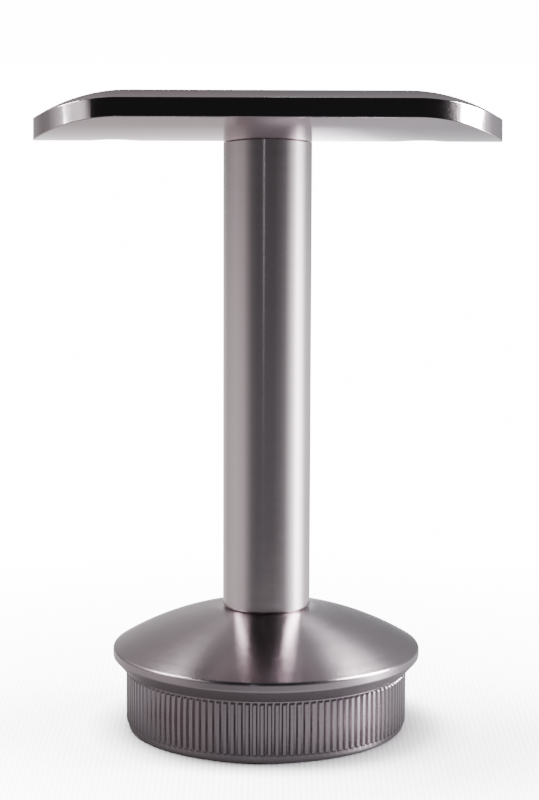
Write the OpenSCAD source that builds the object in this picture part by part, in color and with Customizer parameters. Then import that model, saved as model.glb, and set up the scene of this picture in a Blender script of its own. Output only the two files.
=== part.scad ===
// Handrail support for a round rail on a round post tube.
// A domed cap with a knurled spigot is driven into the top of the post tube. A bar stem is
// screwed to the cap from below, and carries a curved saddle plate that the rail lies in.
// Origin: centre of the spigot's bottom face. +Z up, +X along the handrail.

/* [Post tube and rail] */
// Outside diameter of the post tube, which the cap's flange matches
post_od = 42.4; // [38:0.1:60.3]
// Wall of the post tube
post_wall = 2; // [1.5:0.1:3]
// Outside diameter of the round handrail, which the saddle is curved to
rail_od = 42.4; // [33.7:0.1:60.3]

/* [End cap] */
// Height of the spigot that goes into the tube
spigot_h = 8.6; // [8:0.1:12]
// Thickness of the spigot's wall behind the ribs
spigot_wall = 3.6; // [2.5:0.1:5]
// Radial play of the plain pilot band in the tube
pilot_play = 0.05; // [0.02:0.01:0.2]
// Height of the pilot band below the ribs, with its chamfer
pilot_h = 1; // [0.8:0.1:2]
// Chamfer at the foot of the spigot
foot_chamfer = 0.45; // [0.2:0.05:0.6]
// How far the rib crests stand into the tube's wall
knurl_bite = 0.2; // [0.1:0.05:0.3]
// Depth of the grooves between the ribs
knurl_depth = 0.19; // [0.1:0.01:0.3]
// Spacing of the ribs round the spigot
knurl_pitch = 1; // [0.8:0.1:1.6]
// Width of a rib
rib_w = 0.5; // [0.4:0.05:0.6]
// Width of the chamfer under the flange
flange_chamfer = 1.5; // [0.4:0.1:1.6]
// Height of the chamfer under the flange
flange_chamfer_h = 1.7; // [0.4:0.1:2]
// Height of the flange's upright rim
rim_h = 1.15; // [0.8:0.05:3]
// Radius of the spherical dome
dome_r = 40; // [38:0.5:80]
// Thickness of the dome's shell
crown_t = 4; // [3:0.1:6]

/* [Stem] */
// Diameter of the stem
stem_d = 12; // [11:0.5:16]
// Length of the stem, from the cap to the bottom of the saddle
stem_len = 64.1; // [40:0.1:120]
// Chamfer round the stem's lower end
stem_chamfer = 0.35; // [0.2:0.05:0.8]

/* [Saddle] */
// Length of the saddle along the rail
saddle_len = 63; // [56:0.5:90]
// Width of the saddle across the rail, over its outer edges
saddle_w = 26.4; // [24:0.1:32]
// Thickness of the saddle plate
saddle_t = 3; // [2.5:0.1:5]
// Radius of the saddle's corners, seen square to its long edges
corner_r = 11.5; // [6:0.5:11.5]
// Distance between the two rail screw holes
rail_hole_spacing = 41; // [36:0.5:44]
// Diameter of the rail screw holes
rail_hole_d = 5.5; // [4.5:0.1:6]
// Diameter of the countersinks under the rail screw holes
rail_sink_d = 7.6; // [7:0.1:9]

/* [Fasteners] */
// Thread diameter of both screws
thread_d = 6; // [5:1:6]
// Pitch of the screws' thread
thread_pitch = 1; // [0.8:0.05:1.25]
// Length of the cap screw's shank
base_screw_len = 16; // [12:1:20]
// Length of the countersunk screw, with its head
saddle_screw_len = 16; // [12:1:20]
// Diameter and height of the cap screw's head
cap_head_d = 10; // [8:0.5:11]
cap_head_h = 6; // [5:0.5:7]
// Width across flats of the cap screw's socket
cap_hex = 5; // [4:1:5]
// Diameter of the countersunk head
sink_head_d = 12; // [10:0.5:12.5]
// Width across flats of the countersunk screw's socket
sink_hex = 4; // [3:1:4]
// Outside diameter and thickness of the plain washer
washer_d = 12; // [10:0.5:14]
washer_t = 1.6; // [1:0.1:2]
// Outside diameter and thickness of the spring lock washer
lock_d = 11.8; // [9:0.1:12.5]
lock_t = 1.6; // [1.2:0.1:2]

/* [Hidden] */
$fn = 96;
eps = 0.01;

// Clearances
swivel_gap = 0.02;         // between the stem's foot and the cap, which it turns on
thread_play = 0.05;        // radial, between a screw's crests and a tapped hole
hole_play = 0.2;           // radial, between a screw and a plain hole
cope_play = 0.02;          // between the stem's hollowed top and the saddle
sink_play = 0.03;          // radial, between a countersunk head and its seat
washer_play = 0.2;         // radial, between a washer's hole and the screw
stem_land = 0.3;           // how far the dome's flat seat stands out round the stem
seat_land = 0.8;           // how far the washer's flat seat stands out round the washer
head_sink = 0.1;           // how far the countersunk head lies below the saddle's surface

// End cap
tube_r = post_od / 2 - post_wall;
flange_r = post_od / 2;
pilot_r = tube_r - pilot_play;
crest_r = tube_r + knurl_bite;
root_r = crest_r - knurl_depth;
rib_count = round(2 * PI * crest_r / knurl_pitch);
cavity_r = root_r - spigot_wall;
chamfer_z = spigot_h + flange_chamfer_h;
rim_z = chamfer_z + rim_h;
stem_r = stem_d / 2;
seat_r = stem_r + stem_land;
dome_z = rim_z - sqrt(pow(dome_r, 2) - pow(flange_r, 2));
seat_z = dome_z + sqrt(pow(dome_r, 2) - pow(seat_r, 2));
shell_r = dome_r - crown_t;
washer_seat_r = washer_d / 2 + seat_land;
ceiling_z = dome_z + sqrt(pow(shell_r, 2) - pow(washer_seat_r, 2));

// Stem and saddle
stem_z = seat_z + swivel_gap;
saddle_z = stem_z + stem_len;
rail_r = rail_od / 2;
back_r = rail_r + saddle_t;
rail_axis_z = saddle_z + back_r;
edge_angle = asin(saddle_w / 2 / back_r);

// Fasteners
thread_r = thread_d / 2;
thread_depth = 0.61 * thread_pitch;
thread_tip = 0.5;          // chamfer at a screw's tip
tap_over = 2;              // how much deeper a tapped hole is than its screw goes
lock_z = ceiling_z - washer_t - lock_t;
cap_tip_z = lock_z + base_screw_len;
sink_top_z = saddle_z + saddle_t - head_sink;
sink_rim = 0.3;            // upright rim of the countersunk head
sink_cone_h = sink_head_d / 2 - thread_r;
sink_tip_z = sink_top_z - saddle_screw_len;
cap_hex_depth = 3;
sink_hex_depth = 2;
lock_gap = 1.2;            // width of the lock washer's split
edge_break = 0.25;         // small chamfer on turned edges
saddle_edge_r = 0.4;       // chamfer on the tapped holes' mouths

function hex_r(flats) = flats / sqrt(3);

// Half section of a threaded shank with ring grooves, from z0 up to z1, its tip at z1.
function thread_section(z0, z1) =
    let(turns = floor((z1 - z0 - thread_tip) / thread_pitch))
    concat(
        [[0, z0]],
        [
            for (i = [0 : turns - 1])
                each [
                    [thread_r, z0 + i * thread_pitch],
                    [thread_r, z0 + (i + 0.2) * thread_pitch],
                    [thread_r - thread_depth, z0 + (i + 0.55) * thread_pitch],
                    [thread_r - thread_depth, z0 + (i + 0.65) * thread_pitch]
                ]
        ],
        [
            [thread_r, z0 + turns * thread_pitch],
            [thread_r, z1 - thread_tip],
            [thread_r - thread_tip, z1],
            [0, z1]
        ]
    );

// A bore with an open mouth below it, from z0 up to z1, ending in a drill's cone.
module drilled(r, z0, z1) {
    translate([0, 0, z0 - eps]) cylinder(r = r, h = z1 - z0 + eps);
    translate([0, 0, z1 - eps]) cylinder(r1 = r, r2 = 0, h = r * 0.6);
}

module hex_socket(flats, z, depth) {
    translate([0, 0, z]) cylinder(r = hex_r(flats), h = depth, $fn = 6);
}

// Cross-section of the knurled ring: a round core with a rib at each pitch.
module rib_section() {
    circle(r = root_r);
    intersection() {
        circle(r = crest_r);
        for (i = [0 : rib_count - 1])
            rotate(360 * i / rib_count) translate([root_r - 1, -rib_w / 2]) square([2, rib_w]);
    }
}

// Domed cap with its flange and knurled spigot, turned from one casting.
module end_cap() {
    color("#8a8184") difference() {
        union() {
            intersection() {
                translate([0, 0, dome_z]) sphere(r = dome_r, $fn = 180);
                translate([0, 0, rim_z]) cylinder(r = flange_r, h = seat_z - rim_z);
            }
            translate([0, 0, chamfer_z]) cylinder(r = flange_r, h = rim_h);
            translate([0, 0, spigot_h])
                cylinder(r1 = flange_r - flange_chamfer, r2 = flange_r, h = flange_chamfer_h);
            translate([0, 0, pilot_h]) linear_extrude(height = spigot_h - pilot_h) rib_section();
            translate([0, 0, foot_chamfer]) cylinder(r = pilot_r, h = pilot_h - foot_chamfer);
            cylinder(r1 = pilot_r - foot_chamfer, r2 = pilot_r, h = foot_chamfer);
        }
        intersection() {
            translate([0, 0, dome_z]) sphere(r = shell_r, $fn = 180);
            translate([0, 0, -1]) cylinder(r = cavity_r, h = ceiling_z + 1);
        }
        translate([0, 0, ceiling_z - 1])
            cylinder(r = thread_r + hole_play, h = seat_z - ceiling_z + 2);
    }
}

// Solid bar stem: flat foot on the cap, top hollowed to fit the saddle's round back.
module stem() {
    foot_mouth = thread_r + thread_play + edge_break;
    color("#a59c9f") difference() {
        union() {
            translate([0, 0, stem_z])
                cylinder(r1 = stem_r - stem_chamfer, r2 = stem_r, h = stem_chamfer);
            translate([0, 0, stem_z + stem_chamfer])
                cylinder(r = stem_r, h = stem_len - stem_chamfer + stem_r);
        }
        translate([-stem_d, 0, rail_axis_z])
            rotate([0, 90, 0]) cylinder(r = back_r + cope_play, h = 2 * stem_d, $fn = 180);
        drilled(thread_r + thread_play, stem_z, cap_tip_z + tap_over);
        translate([0, 0, stem_z - eps]) cylinder(r1 = foot_mouth, r2 = thread_r, h = edge_break);
        translate([0, 0, saddle_z + stem_r]) mirror([0, 0, 1])
            drilled(thread_r + thread_play, 0, saddle_z + stem_r - sink_tip_z + tap_over);
        translate([0, 0, sink_top_z - sink_rim - sink_cone_h])
            cylinder(
                r1 = thread_r + thread_play,
                r2 = sink_head_d / 2 + thread_play,
                h = sink_cone_h
            );
    }
}

// One long edge with its round corners, and the rest of the plate beyond it.
module edge_plan() {
    straight_l = saddle_len / 2 - corner_r;
    translate([-straight_l, -back_r]) square([2 * straight_l, back_r]);
    translate([-saddle_len / 2, -back_r]) square([saddle_len, back_r - corner_r]);
    for (x = [-1, 1]) translate([x * straight_l, -corner_r]) circle(r = corner_r);
}

// That outline cut square to the plate's edge, so it leans with the edge. side is 1 or -1.
module edge_cut(side) {
    rotate([side * edge_angle, 0, 0]) rotate([0, 0, side > 0 ? 0 : 180])
        translate([0, 0, -2 * back_r]) linear_extrude(height = 2 * back_r) edge_plan();
}

// A length of tube wall, cut on both sides. The rail's axis is the X axis here.
module saddle_plate() {
    intersection() {
        translate([-saddle_len, 0, 0]) rotate([0, 90, 0]) difference() {
            cylinder(r = back_r, h = 2 * saddle_len, $fn = 180);
            translate([0, 0, -1]) cylinder(r = rail_r, h = 2 * saddle_len + 2, $fn = 180);
        }
        edge_cut(1);
        edge_cut(-1);
    }
}

// Curved plate that the rail lies in, with a hole for the stem's screw and two for the rail's.
module saddle() {
    rail_sink_h = rail_sink_d / 2 - rail_hole_d / 2;
    hole_r = thread_r + hole_play;
    head_r = sink_head_d / 2 + sink_play;
    color("#c9c3c6") translate([0, 0, rail_axis_z]) difference() {
        saddle_plate();
        translate([0, 0, -rail_r - head_sink - sink_rim]) rotate_extrude() polygon([
            [0, -2 * saddle_t],
            [hole_r, -2 * saddle_t],
            [hole_r, hole_r - head_r],
            [head_r, 0],
            [head_r, saddle_t],
            [0, saddle_t]
        ]);
        for (x = [-1, 1]) translate([x * rail_hole_spacing / 2, 0, -back_r])
            rotate_extrude() polygon([
                [0, -saddle_t],
                [rail_sink_d / 2, -saddle_t],
                [rail_sink_d / 2, 0],
                [rail_hole_d / 2, rail_sink_h],
                [rail_hole_d / 2, 2 * saddle_t],
                [0, 2 * saddle_t]
            ]);
    }
}

// Countersunk socket screw that holds the saddle down on the stem.
module saddle_screw() {
    head_r = sink_head_d / 2;
    color("#9a9696") difference() {
        union() {
            translate([0, 0, sink_top_z - sink_rim]) cylinder(r = head_r, h = sink_rim);
            translate([0, 0, sink_top_z - sink_rim - sink_cone_h])
                cylinder(r1 = thread_r, r2 = head_r, h = sink_cone_h);
            mirror([0, 0, 1]) rotate_extrude()
                polygon(thread_section(-(sink_top_z - sink_rim - sink_cone_h), -sink_tip_z));
        }
        hex_socket(sink_hex, sink_top_z - sink_hex_depth, sink_hex_depth + 1);
    }
}

// Socket cap screw that clamps the stem to the cap from inside the spigot.
module base_screw() {
    head_r = cap_head_d / 2;
    side_h = cap_head_h - edge_break;
    color("#9a9696") translate([0, 0, lock_z]) difference() {
        union() {
            translate([0, 0, -cap_head_h])
                cylinder(r1 = head_r - edge_break, r2 = head_r, h = edge_break);
            translate([0, 0, -side_h]) cylinder(r = head_r, h = side_h);
            rotate_extrude() polygon(thread_section(0, base_screw_len));
        }
        hex_socket(cap_hex, -cap_head_h - 1, cap_hex_depth + 1);
    }
}

// Spring lock washer under the cap screw's head, pressed flat, with its split.
module lock_washer() {
    color("#8f8b8b") translate([0, 0, lock_z]) difference() {
        cylinder(r = lock_d / 2, h = lock_t);
        translate([0, 0, -1]) cylinder(r = thread_r + washer_play, h = lock_t + 2);
        rotate([0, 0, 35]) translate([0, -lock_gap / 2, -1]) cube([lock_d, lock_gap, lock_t + 2]);
    }
}

// Plain washer against the cap's inner seat.
module plain_washer() {
    color("#a8a3a3") translate([0, 0, lock_z + lock_t]) difference() {
        union() {
            cylinder(r1 = washer_d / 2 - edge_break, r2 = washer_d / 2, h = edge_break);
            translate([0, 0, edge_break]) cylinder(r = washer_d / 2, h = washer_t - edge_break);
        }
        translate([0, 0, -1]) cylinder(r = thread_r + washer_play, h = washer_t + 2);
    }
}

end_cap();
stem();
saddle();
saddle_screw();
base_screw();
lock_washer();
plain_washer();
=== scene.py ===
import math

import bmesh
import bpy
from mathutils import Matrix, Vector


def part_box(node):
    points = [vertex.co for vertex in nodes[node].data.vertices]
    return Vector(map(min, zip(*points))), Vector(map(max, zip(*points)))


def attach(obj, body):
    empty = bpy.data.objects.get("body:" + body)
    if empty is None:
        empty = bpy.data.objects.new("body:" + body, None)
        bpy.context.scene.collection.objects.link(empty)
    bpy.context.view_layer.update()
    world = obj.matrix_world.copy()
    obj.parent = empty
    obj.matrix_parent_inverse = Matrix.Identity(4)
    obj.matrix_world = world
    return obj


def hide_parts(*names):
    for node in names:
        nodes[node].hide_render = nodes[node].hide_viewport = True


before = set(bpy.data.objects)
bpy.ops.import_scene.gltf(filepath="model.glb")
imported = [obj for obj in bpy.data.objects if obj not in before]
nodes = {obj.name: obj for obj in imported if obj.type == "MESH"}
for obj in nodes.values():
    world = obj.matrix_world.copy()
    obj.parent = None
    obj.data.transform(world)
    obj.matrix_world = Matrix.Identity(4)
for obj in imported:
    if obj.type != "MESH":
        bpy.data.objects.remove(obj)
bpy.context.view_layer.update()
MM = 0.001


# End cap: one stainless casting, turned all over and hollow below. Its dome and rim carry fine
# lathe marks, and the spigot is rolled with straight ribs that bite into the post tube's bore.

cap_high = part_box("end_cap")[1]
flange_r = cap_high.x / MM
dome_top = cap_high.z / MM
dome_r = 40.0
crown_t = 4.0
seat_r = 6.3
rim_h, rim_gap = 1.15, 1.2
underside_h, underside_in = 1.7, 1.5
crown_hole_r = 3.2
ceiling_seat_r, seat_gap = 6.8, 0.4
cavity_r = 15.61
cavity_fillet = 1.2
foot_chamfer = 0.4
pilot_r = 19.12
pilot_chamfer = 0.45
rib_count = 122
rib_crest_r, rib_floor_r = 19.4, 19.02
rib_end, rib_gap, rib_guard = 0.25, 0.3, 0.02

dome_z = dome_top - math.sqrt(dome_r ** 2 - seat_r ** 2)
rim_top = dome_z + math.sqrt(dome_r ** 2 - flange_r ** 2)
rim_bottom = rim_top - rim_h
flange_bottom = rim_bottom - underside_h
shell_r = dome_r - crown_t
ceiling_z = dome_z + math.sqrt(shell_r ** 2 - ceiling_seat_r ** 2)
rib_low, rib_high = 1.0, flange_bottom - rib_gap


def rounded(corners, steps=5):
    """Outline points for a closed ring of (radius, height, fillet) corners."""
    guard = 1.25    # a point just outside each fillet keeps its shading off the flats
    points = []
    for i, (x, z, fillet) in enumerate(corners):
        corner = Vector((x, z))
        if not fillet:
            points.append(corner)
            continue
        back = (Vector(corners[i - 1][:2]) - corner).normalized()
        ahead = (Vector(corners[(i + 1) % len(corners)][:2]) - corner).normalized()
        half = back.angle(ahead) / 2
        reach = fillet / math.tan(half)
        centre = corner + (back + ahead).normalized() * (fillet / math.sin(half))
        start = (corner + back * reach - centre).normalized()
        end = (corner + ahead * reach - centre).normalized()
        points.append(corner + back * reach * guard)
        points += [centre + start.slerp(end, s / steps) * fillet for s in range(steps + 1)]
        points.append(corner + ahead * reach * guard)
    return points


def turned(outline, steps):
    """A lathe-turned piece: the closed outline, in millimetres, spun round the Z axis."""
    bm = bmesh.new()
    verts = [bm.verts.new((p.x * MM, 0, p.y * MM)) for p in outline]
    edges = [bm.edges.new((a, b)) for a, b in zip(verts, verts[1:] + verts[:1])]
    bmesh.ops.spin(bm, geom=verts + edges, cent=(0, 0, 0), axis=(0, 0, 1),
                   angle=math.tau, steps=steps, use_merge=True)
    bmesh.ops.remove_doubles(bm, verts=bm.verts, dist=0.001 * MM)
    return bm


def finished(name, bm, sharp_degrees=35):
    """Turns a bmesh into a piece, smooth except across its sharp edges."""
    bmesh.ops.recalc_face_normals(bm, faces=bm.faces)
    for face in bm.faces:
        face.smooth = True
    for edge in bm.edges:
        edge.smooth = edge.calc_face_angle(0) < math.radians(sharp_degrees)
    mesh = bpy.data.meshes.new(name)
    bm.to_mesh(mesh)
    bm.free()
    piece = bpy.data.objects.new(name, mesh)
    bpy.context.scene.collection.objects.link(piece)
    return piece


def dome_points(radius, r_from, r_to, count):
    """Corners along a dome's section, from one distance off the axis to another."""
    spread = [r_from + (r_to - r_from) * i / (count - 1) for i in range(count)]
    return [(r, dome_z + math.sqrt(radius ** 2 - r ** 2), 0) for r in spread]


# The section runs up the crown's hole, out over the dome, down the ribs and back up the hollow.
# A ring halfway down the ribs and one just above them keep the ribs' shading off the neck.
cap_corners = [
    (crown_hole_r, ceiling_z, 0.15),
    (crown_hole_r, dome_top, 0.15),
    *dome_points(dome_r, seat_r, flange_r - rim_gap, 16),
    (flange_r, rim_top, 0.5),
    (flange_r, rim_bottom, 0.4),
    (flange_r - underside_in, flange_bottom, 0.12),
    (pilot_r, flange_bottom, 0.05),
    (pilot_r, rib_high + rib_guard, 0),
    (pilot_r, rib_high, 0),
    (rib_crest_r, rib_high - rib_end, 0),
    (rib_crest_r, (rib_high + rib_low) / 2, 0),
    (rib_crest_r, rib_low + rib_end, 0),
    (pilot_r, rib_low, 0),
    (pilot_r, pilot_chamfer, 0.1),
    (pilot_r - pilot_chamfer, 0, 0.1),
    (cavity_r + foot_chamfer, 0, 0.1),
    (cavity_r, foot_chamfer, 0.1),
    (cavity_r, dome_z + math.sqrt(shell_r ** 2 - cavity_r ** 2), cavity_fillet),
    *dome_points(shell_r, cavity_r - 2 * cavity_fillet, ceiling_seat_r + seat_gap, 9),
    (ceiling_seat_r, ceiling_z, 0.1),
]
cap_mesh = turned(rounded(cap_corners), rib_count * 4)

# The ribs: four edges to each pitch, two moved out to a crest and two in to a groove's floor.
rib_places = ((-0.2, rib_crest_r), (0.2, rib_crest_r), (0.37, rib_floor_r), (0.63, rib_floor_r))
for v in cap_mesh.verts:
    r, z = math.hypot(v.co.x, v.co.y) / MM, v.co.z / MM
    if abs(r - rib_crest_r) < 0.01 and rib_low < z < rib_high:
        step = round(math.atan2(v.co.y, v.co.x) / math.tau * rib_count * 4) % (rib_count * 4)
        share, rib_r = rib_places[step % 4]
        angle = math.tau * (step // 4 + share) / rib_count
        v.co.x, v.co.y = rib_r * MM * math.cos(angle), rib_r * MM * math.sin(angle)

cap_body = finished("cap_body", cap_mesh)
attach(cap_body, "cap")
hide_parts("end_cap")


def group_tree(name, inputs, outputs):
    """An empty shader node group with float sockets, except those named as vectors."""
    tree = bpy.data.node_groups.new(name, "ShaderNodeTree")
    for socket in inputs:
        kind = "NodeSocketVector" if "Vector" in socket else "NodeSocketFloat"
        tree.interface.new_socket(name=socket, in_out="INPUT", socket_type=kind)
    for socket in outputs:
        tree.interface.new_socket(name=socket, in_out="OUTPUT", socket_type="NodeSocketFloat")
    return tree, tree.nodes.new("NodeGroupInput"), tree.nodes.new("NodeGroupOutput")


def feed(tree, socket, value):
    """Links another node's socket into this one, or sets it to a plain value."""
    if isinstance(value, bpy.types.NodeSocket):
        tree.links.new(value, socket)
    else:
        socket.default_value = value


def noise(tree, vector, scale, detail, rough):
    """A noise texture's value socket, read at vector."""
    node = tree.nodes.new("ShaderNodeTexNoise")
    node.inputs["Scale"].default_value = scale
    node.inputs["Detail"].default_value = detail
    node.inputs["Roughness"].default_value = rough
    tree.links.new(vector, node.inputs["Vector"])
    return node.outputs["Fac"]


def remap(tree, value, low, high, to_low, to_high):
    """The value moved from one range to another, and held inside it."""
    node = tree.nodes.new("ShaderNodeMapRange")
    for socket, end in zip(("From Min", "From Max", "To Min", "To Max"), (low, high, to_low, to_high)):
        node.inputs[socket].default_value = end
    tree.links.new(value, node.inputs["Value"])
    return node.outputs["Result"]


def maths(tree, operation, a, b):
    """A Math node's value socket."""
    node = tree.nodes.new("ShaderNodeMath")
    node.operation = operation
    feed(tree, node.inputs[0], a)
    feed(tree, node.inputs[1], b)
    return node.outputs["Value"]


def length_of(tree, vector):
    """How long a vector is."""
    node = tree.nodes.new("ShaderNodeVectorMath")
    node.operation = "LENGTH"
    tree.links.new(vector, node.inputs[0])
    return node.outputs["Value"]


def blend(tree, kind, factor, a, b, how="MIX"):
    """A Mix node's result. kind is RGBA for colours and FLOAT for numbers."""
    node = tree.nodes.new("ShaderNodeMix")
    node.data_type = kind
    node.blend_type = how
    feed(tree, node.inputs["Factor"], factor)
    feed(tree, node.inputs["A"], a)
    feed(tree, node.inputs["B"], b)
    return node.outputs["Result"]


# Machined steel, shared by every piece: grain lines along the tool's path, and cloudy patches
# where the polish differs. Vector comes in already stretched along the grain.
machined_steel, into, out = group_tree(
    "machined_steel",
    ["Vector", "Cloud Vector", "Grain", "Clouds"],
    ["Height", "Gloss Change", "Tone"],
)
coarse = noise(machined_steel, into.outputs["Vector"], 900.0, 3.0, 0.6)
fine = noise(machined_steel, into.outputs["Vector"], 5200.0, 2.0, 0.7)
lines = maths(
    machined_steel, "ADD",
    maths(machined_steel, "MULTIPLY", coarse, 0.45),
    maths(machined_steel, "MULTIPLY", fine, 0.55),
)
patches = noise(machined_steel, into.outputs["Cloud Vector"], 140.0, 4.0, 0.55)
line_range = remap(machined_steel, lines, 0.3, 0.7, -1.0, 1.0)
line_part = maths(machined_steel, "MULTIPLY", line_range, into.outputs["Grain"])
patch_range = remap(machined_steel, patches, 0.3, 0.7, -1.0, 1.0)
patch_part = maths(machined_steel, "MULTIPLY", patch_range, into.outputs["Clouds"])
height = maths(machined_steel, "MULTIPLY", lines, into.outputs["Grain"])
tone = maths(machined_steel, "ADD", maths(machined_steel, "MULTIPLY", line_part, 0.6), patch_part)
gloss_change = maths(machined_steel, "ADD", line_part, patch_part)
machined_steel.links.new(height, out.inputs["Height"])
machined_steel.links.new(gloss_change, out.inputs["Gloss Change"])
machined_steel.links.new(tone, out.inputs["Tone"])


def with_rings(tree, grain_vector, position):
    """The grain's coordinates with the distance off the Z axis added, which draws lathe rings."""
    flat = tree.nodes.new("ShaderNodeVectorMath")
    flat.operation = "MULTIPLY"
    flat.inputs[1].default_value = (1, 1, 0)
    tree.links.new(position, flat.inputs[0])
    rings = tree.nodes.new("ShaderNodeCombineXYZ")
    tree.links.new(length_of(tree, flat.outputs["Vector"]), rings.inputs["X"])
    added = tree.nodes.new("ShaderNodeVectorMath")
    added.operation = "ADD"
    tree.links.new(grain_vector, added.inputs[0])
    tree.links.new(rings.outputs["Vector"], added.inputs[1])
    return added.outputs["Vector"]


def steel(name, colour, dark_colour, roughness, stretch, grain, clouds, bump,
          anisotropy=0.0, tangent_axis="Z", turn=0.0, lathe_rings=False):
    """A steel material. stretch scales x, y and z of the grain's coordinates."""
    swing = 0.3    # the share by which the polish varies
    material = bpy.data.materials.new(name)
    material.use_nodes = True
    tree = material.node_tree
    shader = tree.nodes["Principled BSDF"]
    place = tree.nodes.new("ShaderNodeTexCoord")
    mapping = tree.nodes.new("ShaderNodeMapping")
    mapping.inputs["Scale"].default_value = stretch
    tree.links.new(place.outputs["Object"], mapping.inputs["Vector"])
    grain_vector = mapping.outputs["Vector"]
    if lathe_rings:
        grain_vector = with_rings(tree, grain_vector, place.outputs["Object"])
    surface = tree.nodes.new("ShaderNodeGroup")
    surface.node_tree = machined_steel
    surface.inputs["Grain"].default_value = grain
    surface.inputs["Clouds"].default_value = clouds
    tree.links.new(grain_vector, surface.inputs["Vector"])
    tree.links.new(place.outputs["Object"], surface.inputs["Cloud Vector"])
    tone = remap(tree, surface.outputs["Tone"], -1.0, 1.0, 0.0, 1.0)
    tree.links.new(
        blend(tree, "RGBA", tone, (*dark_colour, 1), (*colour, 1)),
        shader.inputs["Base Color"],
    )
    tree.links.new(
        remap(tree, surface.outputs["Gloss Change"], -1.0, 1.0,
              roughness * (1 - swing), roughness * (1 + swing)),
        shader.inputs["Roughness"],
    )
    raised = tree.nodes.new("ShaderNodeBump")
    raised.inputs["Strength"].default_value = bump
    raised.inputs["Distance"].default_value = 0.01 * MM
    tree.links.new(surface.outputs["Height"], raised.inputs["Height"])
    tree.links.new(raised.outputs["Normal"], shader.inputs["Normal"])
    tangent = tree.nodes.new("ShaderNodeTangent")
    tangent.direction_type = "RADIAL"
    tangent.axis = tangent_axis
    tree.links.new(tangent.outputs["Tangent"], shader.inputs["Tangent"])
    shader.inputs["Anisotropic"].default_value = anisotropy
    shader.inputs["Anisotropic Rotation"].default_value = turn
    shader.inputs["Metallic"].default_value = 1.0
    return material


turned_steel = steel(
    "turned_steel", colour=(0.47, 0.405, 0.435), dark_colour=(0.39, 0.335, 0.36), roughness=0.24,
    stretch=(0.006, 0.006, 1.0), grain=0.35, clouds=0.2, bump=0.2,
    anisotropy=0.85, turn=0.25, lathe_rings=True,
)
cap_body.data.materials.append(turned_steel)


# Fasteners under the cap: a plain washer and a spring washer, and the M6 cap screw that pulls
# the stem down. They are bought parts, rolled and tumbled, and keep their own shapes.

screw_steel = steel(
    "screw_steel", colour=(0.58, 0.56, 0.56), dark_colour=(0.42, 0.40, 0.40), roughness=0.3,
    stretch=(1.0, 1.0, 1.0), grain=0.3, clouds=0.6, bump=0.2,
)
for name in ("plain_washer", "lock_washer", "base_screw"):
    nodes[name].data.materials.clear()
    nodes[name].data.materials.append(screw_steel)


# Stem: a length of 12 mm ground bar. Its foot has a narrow chamfer, which reads as a dark line
# against the cap, and its top is milled hollow to sit against the saddle's round back.

stem_low, stem_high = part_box("stem")
saddle_low, saddle_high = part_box("saddle")
stem_r = stem_high.x / MM
foot_z = stem_low.z / MM
stem_chamfer = 0.35
tap_r = 3.05
foot_tap_h, top_tap_h, drill_tip_h = 11.0, 14.0, 1.5
foot_mouth, top_mouth = 0.3, 0.8
top_ease, top_band = 0.12, 1.0
back_z = saddle_low.z / MM
rail_r = 21.2
saddle_t = 3.0
back_r = rail_r + saddle_t
rail_axis_z = back_z + back_r
cope_r = back_r + 0.03
flat_top = back_z + 2.0

stem_corners = [
    (0, foot_z + foot_tap_h + drill_tip_h, 0),
    (tap_r, foot_z + foot_tap_h, 0),
    (tap_r, foot_z + foot_mouth, 0.05),
    (tap_r + foot_mouth, foot_z, 0.05),
    (stem_r - stem_chamfer, foot_z, 0.06),
    (stem_r, foot_z + stem_chamfer, 0.1),
    (stem_r, flat_top - top_ease, 0),
    (stem_r - top_ease, flat_top, 0),
    (tap_r + top_mouth, flat_top, 0),
    (tap_r, flat_top - top_mouth, 0),
    (tap_r, flat_top - top_tap_h, 0),
    (0, flat_top - top_tap_h - drill_tip_h, 0),
]
stem_mesh = turned(rounded(stem_corners), 160)

# The flat top is drawn down onto the saddle's back, which hollows it across the rail.
for v in stem_mesh.verts:
    if v.co.z > (flat_top - top_band) * MM:
        below_axis = math.sqrt(cope_r ** 2 - (v.co.y / MM) ** 2)
        v.co.z += (rail_axis_z - below_axis - flat_top) * MM
stem_bar = finished("stem_bar", stem_mesh)
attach(stem_bar, "head")
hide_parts("stem")
stem_steel = steel(
    "stem_steel", colour=(0.66, 0.57, 0.60), dark_colour=(0.58, 0.50, 0.52), roughness=0.17,
    stretch=(0.05, 0.05, 1.0), grain=0.35, clouds=0.35, bump=0.04, anisotropy=0.7, turn=0.25,
)
stem_bar.data.materials.append(stem_steel)


# Saddle: a 3 mm plate blank with nearly full-round ends, drilled flat, polished, and then bent
# to the rail's radius. Its edges are eased, and it lies on the stem's hollowed top.

half_length = saddle_high.x / MM
neutral_r = rail_r + saddle_t / 2
half_width = neutral_r * math.asin(saddle_high.y / MM / back_r)
blank_corner, corner_steps = 12.0, 32
edge_round, edge_guard = 0.1, 0.05
rail_hole_x, rail_hole_r, rail_sink_r = 20.5, 2.75, 3.8
sink_r, shank_r, sink_floor = 6.03, 3.2, 2.6
hole_sides = 64
cut_shift = 0.05


def outline_level(offset, height):
    """Places a vertex on the blank's outline, drawn in by offset, at that height."""
    def place(co):
        core = Vector((
            max(blank_corner - half_length, min(half_length - blank_corner, co.x)),
            max(blank_corner - half_width, min(half_width - blank_corner, co.y)),
        ))
        side = core + (co.xy - core).normalized() * (blank_corner - offset)
        return Vector((side.x, side.y, height))
    return place


def hole_level(x, radius, height):
    """Places a vertex on a hole's wall, at that radius and height."""
    def place(co):
        side = (co.xy - Vector((x, 0))).normalized() * radius
        return Vector((x + side.x, side.y, height))
    return place


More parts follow.
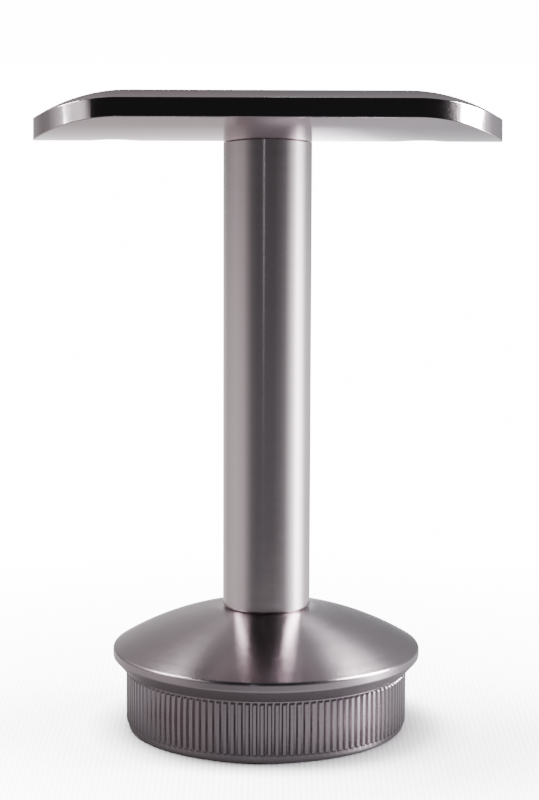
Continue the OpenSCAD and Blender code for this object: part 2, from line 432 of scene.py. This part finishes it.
def plate_face(bm, height, holes):
    """One flat side of the blank, in millimetres, with (x, radius) holes.

    Returns its outer edges, and each hole's edges.
    """
    known = set(bm.edges)
    corners = bmesh.ops.create_grid(bm, x_segments=1, y_segments=1, size=1)["verts"]
    for v in corners:
        v.co = Vector((v.co.x * half_length, v.co.y * half_width, height))
    bmesh.ops.bevel(bm, geom=corners, affect="VERTICES", offset=blank_corner, segments=corner_steps,
                    profile=0.5, material=-1)
    outer = [e for e in bm.edges if e not in known]
    bmesh.ops.delete(bm, geom=outer[0].link_faces[:], context="FACES_ONLY")
    for v in {v for e in outer for v in e.verts}:
        v.co = outline_level(edge_round + edge_guard, height)(v.co)
    rings = []
    for x, radius in holes:
        circle = bmesh.ops.create_circle(bm, segments=hole_sides, radius=radius,
                                         matrix=Matrix.Translation((x, 0, height)))["verts"]
        rings.append(list({e for v in circle for e in v.link_edges}))
    bmesh.ops.triangle_fill(bm, edges=outer + [e for ring in rings for e in ring], use_beauty=True)
    return outer, rings


def walled(bm, edges, levels):
    """Extrudes a ring of edges through levels, each a function that places a vertex."""
    for place in levels:
        made = bmesh.ops.extrude_edge_only(bm, edges=edges)["geom"]
        edges = [g for g in made if isinstance(g, bmesh.types.BMEdge)]
        for v in {v for e in edges for v in e.verts}:
            v.co = place(v.co)


blank = bmesh.new()
lower_edge, lower_holes = plate_face(
    blank, 0, [(0, shank_r), (-rail_hole_x, rail_sink_r), (rail_hole_x, rail_sink_r)])
plate_face(blank, saddle_t, [(0, sink_r), (-rail_hole_x, rail_hole_r), (rail_hole_x, rail_hole_r)])

# The eased edges are quarter rounds, up from the lower face and over onto the upper one. A narrow
# flat band on each side of them keeps their shading off the wide faces.
quarter = [math.radians(a) for a in (0, 30, 60, 90)]
easing = [(edge_round * (1 - math.sin(a)), edge_round * (1 - math.cos(a))) for a in quarter]
easing.append((0, edge_round + edge_guard))
walled(blank, lower_edge,
       [outline_level(offset, height) for offset, height in easing]
       + [outline_level(offset, saddle_t - height) for offset, height in reversed(easing)]
       + [outline_level(edge_round + edge_guard, saddle_t)])
walled(blank, lower_holes[0], [hole_level(0, sink_r, sink_floor), hole_level(0, sink_r, saddle_t)])
for ring, x in zip(lower_holes[1:], (-rail_hole_x, rail_hole_x)):
    walled(blank, ring, [hole_level(x, rail_hole_r, rail_sink_r - rail_hole_r),
                         hole_level(x, rail_hole_r, saddle_t)])
bmesh.ops.remove_doubles(blank, verts=blank.verts, dist=0.002)

# Cut lines across and along the blank give the bend its facets. They miss the holes' centres.
for axis, half, pitch in ((1, half_width, 0.6), (0, half_length, 2.5)):
    count = int(half / pitch)
    normal = Vector((0, 0, 0))
    normal[axis] = 1
    for i in range(-count, count + 1):
        bmesh.ops.bisect_plane(blank, geom=blank.verts[:] + blank.edges[:] + blank.faces[:],
                               plane_co=normal * (i * pitch + cut_shift), plane_no=normal,
                               dist=0.0005)

for v in blank.verts:
    bend_r = back_r - v.co.z
    angle = v.co.y / neutral_r
    v.co = Vector((v.co.x, bend_r * math.sin(angle), rail_axis_z - bend_r * math.cos(angle))) * MM

saddle_plate = finished("saddle_plate", blank, 40)
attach(saddle_plate, "head")
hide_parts("saddle")
saddle_steel = steel(
    "saddle_steel", colour=(0.68, 0.60, 0.63), dark_colour=(0.61, 0.535, 0.56), roughness=0.10,
    stretch=(0.04, 1.0, 1.0), grain=0.3, clouds=0.35, bump=0.05, anisotropy=0.5, tangent_axis="X",
)
saddle_plate.data.materials.append(saddle_steel)


# Saddle screw: an M6 countersunk socket screw, its head a hair below the saddle's surface so
# that the rail lies flat. It is the same bought finish as the cap screw.

nodes["saddle_screw"].data.materials.clear()
nodes["saddle_screw"].data.materials.append(screw_steel)


# Studio: a white tabletop set-up. A tall light stands to the right and a grey wall to the left,
# and the room on the camera's side is dark, so steel shows dark where it faces the camera.

room, into, out = group_tree("room_light", ["Vector"], ["Strength", "Warmth"])
split = room.nodes.new("ShaderNodeSeparateXYZ")
room.links.new(into.outputs["Vector"], split.inputs["Vector"])
x, y, z = (split.outputs[axis] for axis in "XYZ")

# Brightness round the horizon, by the angle from the camera's side, with the right at +90.
horizon = (
    (-180, 1.6), (-165, 1.2), (-150, 0.85), (-126, 0.58), (-90, 0.72), (-66, 0.60),
    (-52, 0.32), (-40, 0.17), (-26, 0.125), (18, 0.125), (36, 0.19), (48, 0.30),
    (58, 0.75), (68, 1.8), (76, 3.5), (84, 8.0), (94, 8.0), (104, 4.5),
    (114, 2.0), (124, 1.2), (148, 0.9), (165, 0.7), (177, 0.95), (180, 1.6),
)
brightest = 10.0
angle = maths(room, "ARCTAN2", x, maths(room, "MULTIPLY", y, -1.0))
around = maths(room, "ADD", maths(room, "DIVIDE", angle, math.tau), 0.5)
ramp = room.nodes.new("ShaderNodeValToRGB")
stops = ramp.color_ramp.elements
for i, (degrees, brightness) in enumerate(horizon):
    spot = degrees / 360 + 0.5
    stop = stops[0] if i == 0 else stops.new(spot)
    stop.position = spot
    stop.color = (*[brightness / brightest] * 3, 1)
stops.remove(stops[-1])    # the ramp's own last stop
room.links.new(around, ramp.inputs["Fac"])
walls = maths(room, "MULTIPLY", ramp.outputs["Color"], brightest)
walls = maths(room, "MULTIPLY", walls, remap(room, z, -0.055, -0.125, 0.5, 1.25))

# The ceiling is dark at the front and paler behind, with a bright window high on the left.
ceiling = maths(
    room, "ADD",
    remap(room, y, -0.35, 0.15, 0.014, 0.13),
    remap(room, y, 0.20, 0.7, 0.0, 0.35),
)
window = maths(
    room, "MULTIPLY",
    remap(room, x, -0.56, -0.70, 0.0, 1.6),
    remap(room, z, 0.72, 0.88, 1.0, 0.0),
)
ceiling = maths(room, "ADD", ceiling, window)
floor = remap(room, y, -0.5, 0.5, 0.42, 0.60)
high = remap(room, z, 0.20, 0.72, 0.0, 1.0)
low = remap(room, z, -0.30, -0.85, 0.0, 1.0)
between = maths(room, "SUBTRACT", maths(room, "SUBTRACT", 1.0, high), low)
level = maths(room, "MULTIPLY", walls, between)
level = maths(room, "ADD", level, maths(room, "MULTIPLY", ceiling, high))
level = maths(room, "ADD", level, maths(room, "MULTIPLY", floor, low))
room.links.new(level, out.inputs["Strength"])
room.links.new(remap(room, angle, -1.1, -0.5, 1.0, 0.0), out.inputs["Warmth"])
white_glow = 16.0    # the plain white behind and around the part


def room_glow(tree, direction):
    """The room's light from a direction: its strength and its colour."""
    light = tree.nodes.new("ShaderNodeGroup")
    light.node_tree = room
    tree.links.new(direction, light.inputs["Vector"])
    tint = blend(tree, "RGBA", light.outputs["Warmth"], (0.95, 0.97, 1.0, 1), (1.0, 0.97, 0.96, 1))
    return light.outputs["Strength"], tint


def seen_directly(tree):
    """1 where the camera itself looks, and 0 in reflections and in the light on things."""
    return tree.nodes.new("ShaderNodeLightPath").outputs["Is Camera Ray"]


world = bpy.data.worlds.new("studio")
bpy.context.scene.world = world
world.use_nodes = True
tree = world.node_tree
background = tree.nodes["Background"]
strength, tint = room_glow(tree, tree.nodes.new("ShaderNodeTexCoord").outputs["Generated"])
tree.links.new(
    blend(tree, "FLOAT", seen_directly(tree), strength, white_glow),
    background.inputs["Strength"],
)
tree.links.new(tint, background.inputs["Color"])


def cloth_colour_with_painted_shadow(tree, position, away):
    """White cloth with a fine weave, and a painted contact shadow: a darker ring close round the
    part's foot.
    """
    # painted shadow: the cloth is darkened close round the foot, where the part shades it
    cloth_with_painted_shadow = blend(tree, "RGBA", remap(tree, away, 18.8 * MM, 25.5 * MM, 0.0, 1.0),
                   (0.20, 0.19, 0.20, 1), (0.84, 0.84, 0.84, 1))
    weave = tree.nodes.new("ShaderNodeTexWave")
    weave.bands_direction = "X"
    weave.inputs["Scale"].default_value = 420.0
    weave.inputs["Distortion"].default_value = 0.6
    tree.links.new(position, weave.inputs["Vector"])
    threads = tree.nodes.new("ShaderNodeCombineColor")
    for channel in ("Red", "Green", "Blue"):
        tree.links.new(remap(tree, weave.outputs["Fac"], 0.0, 1.0, 0.84, 1.0), threads.inputs[channel])
    return blend(tree, "RGBA", 1.0, cloth_with_painted_shadow, threads.outputs["Color"], "MULTIPLY")


def mirrored_table(tree, position, away):
    """The table as the steel mirrors it: a glow with painted light and shade close by, and the dim
    room further out.
    """
    shape = tree.nodes.new("ShaderNodeNewGeometry")
    onward = tree.nodes.new("ShaderNodeVectorMath")
    onward.operation = "SCALE"
    onward.inputs["Scale"].default_value = -1.0
    tree.links.new(shape.outputs["Incoming"], onward.inputs[0])
    strength, tint = room_glow(tree, onward.outputs["Vector"])
    sides = tree.nodes.new("ShaderNodeSeparateXYZ")
    tree.links.new(position, sides.inputs["Vector"])
    # painted light: the mirrored cloth glows brighter to the right, towards the tall light
    painted_light_to_the_right = maths(
        tree, "MULTIPLY",
        remap(tree, sides.outputs["X"], -30 * MM, 30 * MM, -0.4, 0.4),
        remap(tree, sides.outputs["Y"], 10 * MM, -10 * MM, 0.0, 1.0),
    )
    # painted shadow: the glow is darker close round the foot, where the part shades the cloth
    painted_cloth_light = maths(
        tree, "MULTIPLY",
        remap(tree, away, 17 * MM, 36 * MM, 0.12, 0.72),
        maths(tree, "ADD", painted_light_to_the_right, 1.0),
    )
    glow = tree.nodes.new("ShaderNodeEmission")
    tree.links.new(
        blend(tree, "FLOAT", remap(tree, away, 55 * MM, 70 * MM, 0.0, 1.0), painted_cloth_light, strength),
        glow.inputs["Strength"],
    )
    tree.links.new(tint, glow.inputs["Color"])
    return glow.outputs["Emission"]


def either(tree, factor, first, second):
    """A Mix Shader: the first where factor is 0, and the second where it is 1."""
    node = tree.nodes.new("ShaderNodeMixShader")
    tree.links.new(factor, node.inputs["Fac"])
    tree.links.new(first, node.inputs[1])
    tree.links.new(second, node.inputs[2])
    return node.outputs["Shader"]


# The table is a white cloth. Only the cloth close by is shaded, and further out it is plain
# white, so that there is no horizon behind the part. In the steel it is a glow, with painted light and
# shade close by and the dim room further out.
table = bmesh.new()
bmesh.ops.create_grid(table, x_segments=8, y_segments=8, size=3.0)
table_top = finished("table_top", table)
cloth = bpy.data.materials.new("white_cloth")
cloth.use_nodes = True
tree = cloth.node_tree
shader = tree.nodes["Principled BSDF"]
shader.inputs["Roughness"].default_value = 0.9
shader.inputs["Specular IOR Level"].default_value = 0.0
position = tree.nodes.new("ShaderNodeTexCoord").outputs["Object"]
away = length_of(tree, position)
tree.links.new(cloth_colour_with_painted_shadow(tree, position, away), shader.inputs["Base Color"])
plain_white = tree.nodes.new("ShaderNodeEmission")
plain_white.inputs["Strength"].default_value = white_glow
far_out = remap(tree, away, 35 * MM, 110 * MM, 0.0, 1.0)
in_view = either(tree, far_out, shader.outputs["BSDF"], plain_white.outputs["Emission"])
tree.links.new(
    either(tree, seen_directly(tree), mirrored_table(tree, position, away), in_view),
    tree.nodes["Material Output"].inputs["Surface"],
)
table_top.data.materials.append(cloth)


def soft_box(name, position, size, power, target=(0, 0, 0.05)):
    """An area light that faces the part."""
    light = bpy.data.lights.new(name, "AREA")
    light.shape = "RECTANGLE"
    light.size, light.size_y = size
    light.energy = power
    box = bpy.data.objects.new(name, light)
    box.location = position
    box.rotation_euler = (Vector(target) - Vector(position)).to_track_quat("-Z", "Y").to_euler()
    bpy.context.scene.collection.objects.link(box)
    return box


soft_box("right_box", (0.43, 0.02, 0.32), (0.20, 0.38), 17.0)
soft_box("left_box", (-0.36, 0.05, 0.37), (0.15, 0.20), 1.8)
slit = soft_box("slit", (-0.078, -0.494, 0.12), (0.016, 0.5), 0.022)
slit.data.color = (0.85, 0.94, 1.0)
over_table = soft_box("over_table", (-0.25, 0.1, 0.7), (0.4, 0.4), 60.0)
over_table.visible_glossy = False

camera_data = bpy.data.cameras.new("camera")
camera_data.lens = 118.94
camera_data.sensor_width = 36.0
camera_data.clip_start = 0.01
camera = bpy.data.objects.new("camera", camera_data)
camera.location = (0, -0.3573, 0.1027)
pan, tilt, roll = math.radians(-0.057), math.radians(90 - 9.048), math.radians(0.2)
camera.rotation_euler = (
    Matrix.Rotation(pan, 3, "Z") @ Matrix.Rotation(tilt, 3, "X") @ Matrix.Rotation(roll, 3, "Z")
).to_euler()
bpy.context.scene.collection.objects.link(camera)
bpy.context.scene.camera = camera
